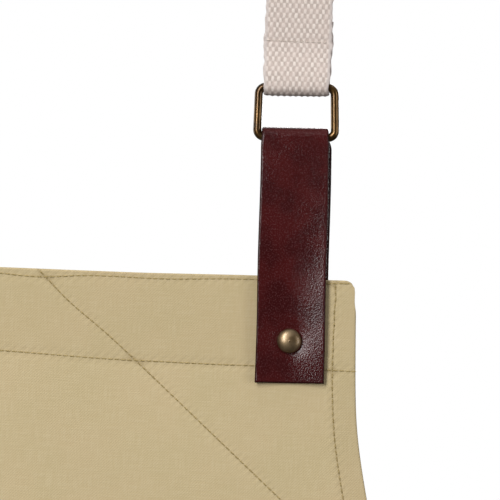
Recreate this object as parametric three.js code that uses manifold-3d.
// Artist smock apron, hanging by its neck strap.
// Millimetres, +Z up. The front faces -Y and +X is to the right of someone looking at it.
// The origin is the inside top of the neck loop, where a neck or a round form carries the apron.
// Cloth places are given on the flat pattern: u is the distance from the centre line (positive
// to +X) and h is the distance below the bib's top edge.
import * as THREE from 'three';
import { mergeVertices } from 'three/addons/utils/BufferGeometryUtils.js';
import Module from 'manifold-3d';

const wasm = await Module();
wasm.setup();

// ---- driving dimensions -------------------------------------------------------------------

const GAP = 0.3;                  // clearance between pieces that touch

const WEB_WIDTH = 25;             // cotton webbing of the neck strap and the waist ties
const WEB_THICK = 1.6;
const CLOTH_THICK = 0.7;          // cotton twill, one layer
const LEATHER_THICK = 1.7;

const HANG_X = 109.4;             // middle of each strap end, ring and leather tab
const UPPER_BAR_Z = -270;         // middle of a ring's upper bar
const BAR_SPACING = 18.7;         // a ring's upper bar to its lower bar, middle to middle
const BAR_ABOVE_BIB = 52.2;       // lower bar above the bib's top edge
const LOWER_BAR_Z = UPPER_BAR_Z - BAR_SPACING;
const BIB_TOP_Z = LOWER_BAR_Z - BAR_ABOVE_BIB;

const WIRE_RADIUS = 1.5;
const RING_WIDTH = 31.8;          // outside
const RING_CORNER = 4.3;          // outside corner radius
const LOOP_SLACK = 0.45;          // room left round a bar inside webbing or leather
const LOOP_INNER = WIRE_RADIUS + LOOP_SLACK;

const TAB_WIDTH = 25;
const TAB_BELOW_BIB = 39.3;       // how far each leg of a leather tab comes down the bib
const TAB_RIVET = { x: 110.1, h: 23.9 };

const BIB_HALF = 134.5;           // half width of the bib's top edge
const SKIRT_HALF = 340;           // half width of the skirt
const ARMHOLE_DEPTH = 310;        // bib top down to the waist corners
const APRON_LENGTH = 840;
const TOP_HEM = 33;
const EDGE_HEM = 10;
const BOTTOM_HEM = 24;
const HEM_STEP = 0.5;             // length of the step from double to single cloth
const ROW_DIP = 220;              // most that a row of the panel dips at the centre line
const PATCH_START = 15;           // where a corner patch's slanted edge leaves the top edge
const PATCH_SLOPE = 1.127;        // its run outward for each unit down
const PATCH_INSET = 2;            // patch edge inside the apron's edge

const FRONT_FACE_Y = -LOOP_INNER + GAP;   // front of the bib, just behind a tab's front leg

const TIE_LENGTH = 550;
const TIE_DROP = 15;              // middle of a tie below the waist corner
const TIE_BEND = 70;              // length over which a tie turns from sideways to down
const TIE_TURN = 50;              // degrees that a tie turns back as it hangs

// ---- how the cloth hangs --------------------------------------------------------------------

const FLAT_HALF = 175;            // the middle of the skirt, flat behind the pockets
const BIB_FLAT_DEPTH = 150;       // above this the whole bib is flat
const WAIST_DEPTH = 300;          // side folds have most of their depth from here down
const MIDDLE_FOLD_START = 610;    // the middle folds only below the pockets
const SIDE_SWING = { right: 1.0, left: 0.86 };    // radians, at the bottom hem
const MIDDLE_SWING = { right: 0.42, left: 0.5 };
const MIDDLE_WAVES = { right: 1.5, left: 1 };
const WAIST_SHARE = 0.62;         // share of the side folds' depth that is there at the waist
const CORNER_DROOP = 28;          // how much lower the unsupported side edges hang
const LEAN = 9;                   // how far the bottom hem's middle comes forward

const { smoothstep, degToRad } = THREE.MathUtils;

function halfWidth(h) {
  if (h >= ARMHOLE_DEPTH) return SKIRT_HALF;
  const down = h / ARMHOLE_DEPTH;
  return BIB_HALF + (SKIRT_HALF - BIB_HALF) * (1 - Math.sqrt(1 - down * down));
}

function droop(a) {
  const out = Math.max(0, a - BIB_HALF) / (SKIRT_HALF - BIB_HALF);
  return CORNER_DROOP * out * out;
}

// The direction in which the cloth runs across at distance a from the centre line: 0 is straight
// along X and positive turns it backward.
function foldAngle(a, h, side) {
  if (a > FLAT_HALF) {
    const waist = WAIST_SHARE * smoothstep(h, BIB_FLAT_DEPTH, WAIST_DEPTH);
    const skirt = (1 - WAIST_SHARE) * smoothstep(h, WAIST_DEPTH, APRON_LENGTH);
    const wave = Math.sin(2 * Math.PI * (a - FLAT_HALF) / (SKIRT_HALF - FLAT_HALF));
    return SIDE_SWING[side] * (waist + skirt) * wave;
  }
  const depth = smoothstep(h, MIDDLE_FOLD_START, APRON_LENGTH);
  return MIDDLE_SWING[side] * depth * Math.sin(2 * Math.PI * MIDDLE_WAVES[side] * a / FLAT_HALF);
}

// The front face of the cloth at (u, h). Walking out from the centre line along the cloth keeps
// its true width.
function drape(u, h) {
  const side = u < 0 ? 'left' : 'right';
  const steps = Math.max(1, Math.ceil(Math.abs(u) / 4));
  const stride = Math.abs(u) / steps;
  let across = 0;
  let back = 0;
  for (let i = 0; i < steps; i += 1) {
    const near = i * stride;
    const drop = droop(near + stride) - droop(near);
    const run = Math.sqrt(stride * stride - drop * drop);
    const angle = foldAngle(near + stride / 2, h, side);
    across += run * Math.cos(angle);
    back += run * Math.sin(angle);
  }
  const lean = -LEAN * smoothstep(h, BIB_FLAT_DEPTH, APRON_LENGTH);
  return new THREE.Vector3(
    u < 0 ? -across : across,
    FRONT_FACE_Y + lean + back,
    BIB_TOP_Z - h - droop(Math.abs(u)),
  );
}

// ---- solids ---------------------------------------------------------------------------------

// Turns a closed geometry's faces outward if its signed volume is negative.
function outward(geometry) {
  const p = geometry.attributes.position;
  const index = geometry.index.array;
  const corner = (i) => new THREE.Vector3().fromBufferAttribute(p, index[i]);
  let volume = 0;
  for (let i = 0; i < index.length; i += 3) {
    volume += corner(i).dot(corner(i + 1).cross(corner(i + 2)));
  }
  if (volume < 0) {
    for (let i = 0; i < index.length; i += 3) {
      [index[i + 1], index[i + 2]] = [index[i + 2], index[i + 1]];
    }
  }
  return geometry;
}

// A solid through a list of sections with the same number of points. A section runs along one
// face and returns along the other, so the first and second halves are split by matching
// diagonals, and an end is closed by the strips between them.
function loft(sections, closed = false) {
  const n = sections[0].length;
  const index = [];
  const last = closed ? sections.length : sections.length - 1;
  for (let k = 0; k < last; k += 1) {
    const next = ((k + 1) % sections.length) * n;
    for (let i = 0; i < n; i += 1) {
      const j = (i + 1) % n;
      const [a, b, c, d] = [k * n + i, k * n + j, next + j, next + i];
      index.push(...(i < n / 2 ? [a, b, c, a, c, d] : [a, b, d, b, c, d]));
    }
  }
  if (!closed) {
    const end = (sections.length - 1) * n;
    for (let i = 0; i < n / 2 - 1; i += 1) {
      const [a, b, c, d] = [i, i + 1, n - 2 - i, n - 1 - i];
      index.push(a, c, b, a, d, c);
      index.push(end + a, end + b, end + c, end + a, end + c, end + d);
    }
  }
  const geometry = new THREE.BufferGeometry().setFromPoints(sections.flat());
  geometry.setIndex(index);
  return outward(geometry);
}

function toSolid(geometry) {
  const bare = geometry.clone();
  bare.deleteAttribute('normal');
  bare.deleteAttribute('uv');
  const merged = outward(mergeVertices(bare));
  return new wasm.Manifold(new wasm.Mesh({
    numProp: 3,
    vertProperties: merged.attributes.position.array,
    triVerts: Uint32Array.from(merged.index.array),
  }));
}

function toGeometry(solid) {
  const mesh = solid.getMesh();
  const geometry = new THREE.BufferGeometry();
  geometry.setAttribute('position', new THREE.BufferAttribute(mesh.vertProperties, 3));
  geometry.setIndex(new THREE.BufferAttribute(mesh.triVerts, 1));
  return geometry;
}

// Drills a hole from front to back for each rivet.
function drilled(geometry, rivets) {
  const radius = POST_RADIUS + GAP;
  const cut = rivets.reduce((solid, { x, z }) => {
    const drill = new THREE.CylinderGeometry(radius, radius, 40, 16);
    drill.translate(x, 0, z);
    return solid.subtract(toSolid(drill));
  }, toSolid(geometry));
  return toGeometry(cut);
}

// A strap along frames of { at, across }: its middle line and the direction of its width.
function strap(frames) {
  return loft(frames.map(({ at, across }, i) => {
    const ahead = frames[Math.min(i + 1, frames.length - 1)].at;
    const behind = frames[Math.max(i - 1, 0)].at;
    const along = ahead.clone().sub(behind).normalize();
    const face = along.clone().cross(across).normalize().multiplyScalar(WEB_THICK / 2);
    const half = across.clone().multiplyScalar(WEB_WIDTH / 2);
    return [
      at.clone().sub(half).add(face),
      at.clone().add(half).add(face),
      at.clone().add(half).sub(face),
      at.clone().sub(half).sub(face),
    ];
  }));
}

// ---- neck strap, rings, leather tabs ----------------------------------------------------------

const SEW_ABOVE_BAR = 16.9;       // the row of stitches that closes the loop round a ring
const TAIL_ABOVE_BAR = 25;        // the strap's end behind that loop
const TWIST_START_Z = -225;       // each side of the strap makes a quarter turn above here
const ARCH_RADIUS = HANG_X;       // middle of the webbing over the top of the loop
const ARCH_Z = WEB_THICK / 2 - ARCH_RADIUS;

// From the tail behind the right ring, round its upper bar and up to the top of the loop.
function rightStrapFrames() {
  const sideways = new THREE.Vector3(1, 0, 0);
  const pressed = (WEB_THICK + GAP) / 2;
  const round = LOOP_INNER + WEB_THICK / 2;
  const point = (y, z) => ({ at: new THREE.Vector3(HANG_X, y, z), across: sideways });
  const leg = [TAIL_ABOVE_BAR, SEW_ABOVE_BAR, 12, 7];
  const spread = (up) => THREE.MathUtils.lerp(round, pressed, smoothstep(up, 2, SEW_ABOVE_BAR));
  const frames = leg.map((up) => point(spread(up), UPPER_BAR_Z + up));
  for (let k = 0; k <= 10; k += 1) {
    const turn = Math.PI * k / 10;
    frames.push(point(round * Math.cos(turn), UPPER_BAR_Z - round * Math.sin(turn)));
  }
  leg.slice().reverse().forEach((up) => frames.push(point(-spread(up), UPPER_BAR_Z + up)));

  for (let k = 0; k <= 16; k += 1) {
    const part = k / 16;
    const twist = smoothstep(part, 0, 1) * Math.PI / 2;
    frames.push({
      at: new THREE.Vector3(
        HANG_X,
        -pressed * (1 - smoothstep(part, 0, 1)),
        THREE.MathUtils.lerp(TWIST_START_Z, ARCH_Z, part),
      ),
      across: new THREE.Vector3(Math.cos(twist), Math.sin(twist), 0),
    });
  }
  for (let k = 1; k <= 12; k += 1) {
    const turn = (Math.PI / 2) * (k / 12);
    frames.push({
      at: new THREE.Vector3(ARCH_RADIUS * Math.cos(turn), 0, ARCH_Z + ARCH_RADIUS * Math.sin(turn)),
      across: new THREE.Vector3(0, 1, 0),
    });
  }
  return frames;
}

function neckStrap() {
  const right = rightStrapFrames();
  const left = right.slice(0, -1).reverse().map(({ at, across }) => ({
    at: new THREE.Vector3(-at.x, at.y, at.z),
    across: new THREE.Vector3(-across.x, across.y, across.z),
  }));
  return strap([...right, ...left]);
}

// A rectangular ring of round wire, standing in the XZ plane about its middle.
function wireRing() {
  const bend = RING_CORNER - WIRE_RADIUS;
  const halfX = RING_WIDTH / 2 - RING_CORNER;
  const halfZ = BAR_SPACING / 2 - bend;
  const corners = [[1, 1], [-1, 1], [-1, -1], [1, -1]];
  const sections = [];
  corners.forEach(([sx, sz], quarter) => {
    for (let k = 0; k <= 5; k += 1) {
      const turn = (Math.PI / 2) * (quarter + k / 5);
      const out = new THREE.Vector3(Math.cos(turn), 0, Math.sin(turn));
      const middle = new THREE.Vector3(sx * halfX, 0, sz * halfZ).addScaledVector(out, bend);
      sections.push(Array.from({ length: 14 }, (_, i) => {
        const around = 2 * Math.PI * i / 14;
        return middle.clone()
          .addScaledVector(out, WIRE_RADIUS * Math.cos(around))
          .add(new THREE.Vector3(0, WIRE_RADIUS * Math.sin(around), 0));
      }));
    }
  });
  return loft(sections, true);
}

// A strip of leather folded over a ring's lower bar, with a leg in front of the bib and one behind.
function leatherTab(centreX, rivet) {
  const outer = LOOP_INNER + LEATHER_THICK;
  const foot = -(BAR_ABOVE_BIB + TAB_BELOW_BIB);
  const profile = new THREE.Shape();
  profile.moveTo(-outer, foot);
  profile.lineTo(-outer, 0);
  profile.absarc(0, 0, outer, Math.PI, 0, true);
  profile.lineTo(outer, foot);
  profile.lineTo(LOOP_INNER, foot);
  profile.lineTo(LOOP_INNER, 0);
  profile.absarc(0, 0, LOOP_INNER, 0, Math.PI, false);
  profile.lineTo(-LOOP_INNER, foot);
  profile.closePath();
  const geometry = new THREE.ExtrudeGeometry(profile, {
    depth: TAB_WIDTH, bevelEnabled: false, curveSegments: 12,
  });
  geometry.translate(0, 0, -TAB_WIDTH / 2);
  geometry.applyMatrix4(new THREE.Matrix4().makeBasis(
    new THREE.Vector3(0, 1, 0), new THREE.Vector3(0, 0, 1), new THREE.Vector3(1, 0, 0),
  ));
  geometry.translate(centreX, 0, LOWER_BAR_Z);
  return drilled(geometry, [rivet]);
}

// ---- rivets -----------------------------------------------------------------------------------

const POST_RADIUS = 1.5;
const CAP_RADIUS = { tab: 4.6, pocket: 3.6 };
const CAP_HEIGHT = { tab: 2.3, pocket: 1.8 };
const CAP_RIM = 0.5;              // straight edge of a cap below its dome

// The domed cap, with its flat back on y = 0 and its dome towards -Y.
function rivetCap(size) {
  const radius = CAP_RADIUS[size];
  const dome = CAP_HEIGHT[size] - CAP_RIM;
  const profile = [];
  for (let k = 0; k <= 5; k += 1) {
    const turn = (Math.PI / 2) * (k / 5);
    profile.push(new THREE.Vector2(radius * Math.sin(turn), -CAP_RIM - dome * Math.cos(turn)));
  }
  profile.push(new THREE.Vector2(radius, 0), new THREE.Vector2(0, 0));
  return new THREE.LatheGeometry(profile, 20);
}

// The post through the layers, from y = 0 back to a flat head whose outer face is at y = depth.
function rivetPost(size, depth) {
  const head = CAP_RADIUS[size] * 0.9;
  return new THREE.LatheGeometry([
    new THREE.Vector2(0, 0),
    new THREE.Vector2(POST_RADIUS, 0),
    new THREE.Vector2(POST_RADIUS, depth - 0.8),
    new THREE.Vector2(head, depth - 0.8),
    new THREE.Vector2(head, depth),
    new THREE.Vector2(0, depth),
  ], 16);
}

// ---- cloth ------------------------------------------------------------------------------------

// Each row of the panel is given by its depth at the centre line and at the side edge. Rows dip
// in the middle where they would otherwise run along the foot of the armhole.
function panelRows() {
  const rows = [0, TOP_HEM, TOP_HEM + HEM_STEP].map((h) => ({ middle: h, edge: h }));
  const armholeRows = 13;
  for (let k = 2; k <= armholeRows; k += 1) {
    const part = k / armholeRows;
    const edge = ARMHOLE_DEPTH * Math.sin((Math.PI / 2) * part);
    rows.push({ middle: edge + ROW_DIP * part ** 2.5, edge });
  }
  const fold = APRON_LENGTH - BOTTOM_HEM;
  for (let k = 1; k <= 10; k += 1) {
    const edge = THREE.MathUtils.lerp(ARMHOLE_DEPTH, fold - HEM_STEP, k / 10);
    rows.push({ middle: edge + ROW_DIP * (1 - k / 10), edge });
  }
  rows.push({ middle: fold, edge: fold }, { middle: APRON_LENGTH, edge: APRON_LENGTH });
  return rows;
}

// A row runs along the front face and returns along the back. The top, bottom and side edges are
// folded over and are two layers thick.
function apronPanel(rivets) {
  const sections = panelRows().map(({ middle, edge }) => {
    const half = halfWidth(edge);
    const inner = half - EDGE_HEM - HEM_STEP;
    const across = [-half, -(half - EDGE_HEM)];
    for (let k = -16; k <= 16; k += 1) across.push(inner * k / 16);
    across.push(half - EDGE_HEM, half);
    const doubled = edge <= TOP_HEM || edge >= APRON_LENGTH - BOTTOM_HEM;
    const front = across.map((u) => drape(u, middle + (edge - middle) * (u / half) ** 2));
    const back = front.map((point, i) => {
      const folded = doubled || i < 2 || i > across.length - 3;
      return point.clone().add(new THREE.Vector3(0, CLOTH_THICK * (folded ? 2 : 1), 0));
    });
    return [...front, ...back.reverse()];
  });
  return drilled(loft(sections), rivets);
}

// The triangle of cloth behind each top corner of the bib that backs the leather tab.
function cornerPatch(sign, rivet) {
  const slanted = (h) => PATCH_START + PATCH_SLOPE * h;
  const edge = (h) => halfWidth(h) - PATCH_INSET;
  let foot = PATCH_INSET;
  while (slanted(foot) < edge(foot)) foot += 1;
  const outline = [[slanted(PATCH_INSET), PATCH_INSET]];
  for (let k = 0; k < 10; k += 1) {
    const h = THREE.MathUtils.lerp(PATCH_INSET, foot - 1, k / 9);
    outline.push([edge(h), h]);
  }
  const shape = new THREE.Shape(outline.map(([u, h]) => new THREE.Vector2(sign * u, -h)));
  const geometry = new THREE.ExtrudeGeometry(shape, { depth: CLOTH_THICK, bevelEnabled: false });
  geometry.rotateX(Math.PI / 2);
  geometry.translate(0, FRONT_FACE_Y + 2 * CLOTH_THICK + GAP + CLOTH_THICK, BIB_TOP_Z);
  return drilled(geometry, [rivet]);
}

// A patch pocket on the front. Its sides, its bottom and the seams between its slots lie on the
// apron, and the mouth of each slot stands open.
function pocket({ from, to, mouth, foot, slots, gape, margin }, rivets) {
  const slotWidth = (to - from) / slots;
  const across = [[from, 0]];
  for (let slot = 0; slot < slots; slot += 1) {
    const left = from + slot * slotWidth;
    for (let k = 0; k <= 8; k += 1) {
      const u = THREE.MathUtils.lerp(left + margin, left + slotWidth - margin, k / 8);
      across.push([u, gape * Math.sin(Math.PI * k / 8)]);
    }
    across.push([left + slotWidth, 0]);
  }
  const sections = [];
  for (let r = 0; r <= 8; r += 1) {
    const down = r / 8;
    const h = THREE.MathUtils.lerp(mouth, foot, down);
    const face = across.map(([u, bulge]) => (
      drape(u, h).add(new THREE.Vector3(0, -GAP - bulge * (1 - down * down), 0))
    ));
    const outer = face.map((point) => point.clone().add(new THREE.Vector3(0, -CLOTH_THICK, 0)));
    sections.push([...outer, ...face.reverse()]);
  }
  return drilled(loft(sections), rivets);
}

// ---- waist ties -------------------------------------------------------------------------------

// A tie leaves the side edge sideways, on edge, turns flat as it bends down, and hangs.
function waistTie(sign) {
  const h = ARMHOLE_DEPTH + TIE_DROP;
  const start = drape(sign * SKIRT_HALF, h);
  const at = start.add(new THREE.Vector3(sign * 2 * GAP, CLOTH_THICK, 0));
  const frames = [];
  const step = 5;
  for (let s = 0; s <= TIE_LENGTH; s += step) {
    const bend = (Math.PI / 2) * smoothstep(s, 0, TIE_BEND);
    const quarter = (Math.PI / 2) * smoothstep(s, 0, TIE_BEND * 0.7);
    const turnBack = degToRad(TIE_TURN) * smoothstep(s, TIE_BEND, TIE_LENGTH);
    const turn = quarter + turnBack;
    const up = new THREE.Vector3(sign * Math.sin(bend), 0, Math.cos(bend));
    const across = up.multiplyScalar(Math.cos(turn)).add(new THREE.Vector3(0, Math.sin(turn), 0));
    if (s <= 2 * TIE_BEND || s % 25 === 0) frames.push({ at: at.clone(), across });
    at.x += sign * step * Math.cos(bend);
    at.z -= step * Math.sin(bend);
  }
  return strap(frames);
}

// ---- assembly ---------------------------------------------------------------------------------

const FINISH = {
  webbing: { color: 0xd1c3ba, roughness: 0.95, metalness: 0 },
  twill: { color: 0xc4b189, roughness: 0.9, metalness: 0 },
  leather: { color: 0x4a2323, roughness: 0.55, metalness: 0 },
  brass: { color: 0x7a6140, roughness: 0.35, metalness: 1 },
};

const POCKETS = {
  pocket_right: { from: 14, to: 170, mouth: 420, foot: 600, slots: 1, gape: 14, margin: 12 },
  pocket_left: { from: -170, to: -14, mouth: 420, foot: 600, slots: 1, gape: 14, margin: 12 },
  brush_pocket: { from: -72, to: 72, mouth: 140, foot: 262, slots: 4, gape: 8, margin: 2 },
};
const POCKET_RIVET_INSET = 6;

const apron = new THREE.Group();

function add(name, geometry, finish, place = [0, 0, 0]) {
  const mesh = new THREE.Mesh(geometry, new THREE.MeshStandardMaterial(FINISH[finish]));
  mesh.name = name;
  mesh.position.set(...place);
  apron.add(mesh);
}

// A cap in front of the layers and a post from behind them; front and back are the outer faces.
function addRivet(name, size, { x, z }, front, back) {
  add(`${name}_cap`, rivetCap(size), 'brass', [x, front - GAP / 2, z]);
  const post = rivetPost(size, back - front + GAP / 2 + 0.8 - GAP);
  add(`${name}_post`, post, 'brass', [x, front + GAP, z]);
}

const tabRivets = { right: 1, left: -1 };
for (const [side, sign] of Object.entries(tabRivets)) {
  tabRivets[side] = { sign, x: sign * TAB_RIVET.x, z: BIB_TOP_Z - TAB_RIVET.h };
}

const pocketRivets = {};
for (const [side, sign] of [['right', 1], ['left', -1]]) {
  const { from, to, mouth } = POCKETS[`pocket_${side}`];
  const [inner, outer] = sign > 0 ? [from, to] : [to, from];
  const z = BIB_TOP_Z - mouth - POCKET_RIVET_INSET;
  pocketRivets[side] = {
    inner: { x: inner + sign * POCKET_RIVET_INSET, z },
    outer: { x: outer - sign * POCKET_RIVET_INSET, z },
  };
}
const allPocketRivets = Object.values(pocketRivets).flatMap(Object.values);

add('neck_strap', neckStrap(), 'webbing');
add('apron_panel', apronPanel([...Object.values(tabRivets), ...allPocketRivets]), 'twill');
add('brush_pocket', pocket(POCKETS.brush_pocket, []), 'twill');

const tabFace = LOOP_INNER + LEATHER_THICK;
for (const [side, rivet] of Object.entries(tabRivets)) {
  const { sign } = rivet;
  add(`ring_${side}`, wireRing(), 'brass', [sign * HANG_X, 0, (UPPER_BAR_Z + LOWER_BAR_Z) / 2]);
  add(`leather_tab_${side}`, leatherTab(sign * HANG_X, rivet), 'leather');
  addRivet(`tab_rivet_${side}`, 'tab', rivet, -tabFace, tabFace);
  add(`corner_patch_${side}`, cornerPatch(sign, rivet), 'twill');
  add(`waist_tie_${side}`, waistTie(sign), 'webbing');

  const rivets = pocketRivets[side];
  const hip = POCKETS[`pocket_${side}`];
  add(`pocket_${side}`, pocket(hip, Object.values(rivets)), 'twill');
  const cloth = drape(rivets.inner.x, hip.mouth + POCKET_RIVET_INSET).y;
  for (const [end, place] of Object.entries(rivets)) {
    const front = cloth - GAP - CLOTH_THICK;
    addRivet(`pocket_rivet_${side}_${end}`, 'pocket', place, front, cloth + CLOTH_THICK + GAP);
  }
}

export default apron;
